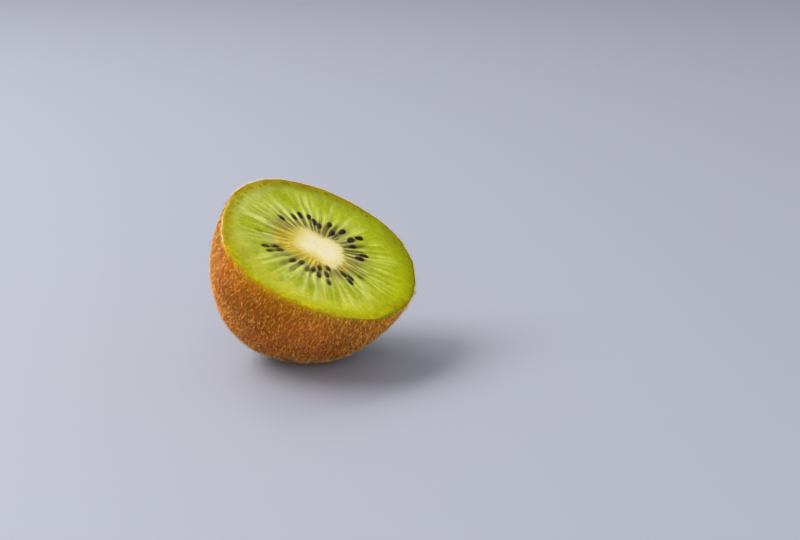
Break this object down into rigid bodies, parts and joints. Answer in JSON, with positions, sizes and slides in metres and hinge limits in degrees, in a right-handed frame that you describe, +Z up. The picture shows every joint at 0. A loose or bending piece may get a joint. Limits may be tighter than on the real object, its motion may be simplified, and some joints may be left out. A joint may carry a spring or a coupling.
{
  "type": "kiwi fruit half",
  "caption": "Half of a kiwi fruit lying tilted on its rounded end, with a flat green cut face, a pale core, a ring of small dark seeds and brown hairy skin.",
  "frame": {"origin": "middle of the small flat that the fruit rests on", "axes": "+Z up, +X the way the cut face slopes down, Y along the longer axis of the cut face"},
  "size_m": [0.0487, 0.0562, 0.0429],
  "materials": {
    "flesh": "moist translucent yellow-green fruit flesh with pale rays",
    "core": "moist pale cream fruit core",
    "skin": "dry golden-brown skin with short stiff hairs",
    "seeds": "glossy black seeds"
  },
  "bodies": {
    "root": {"flesh": "flesh", "core": "core"}
  },
  "joints": []
}
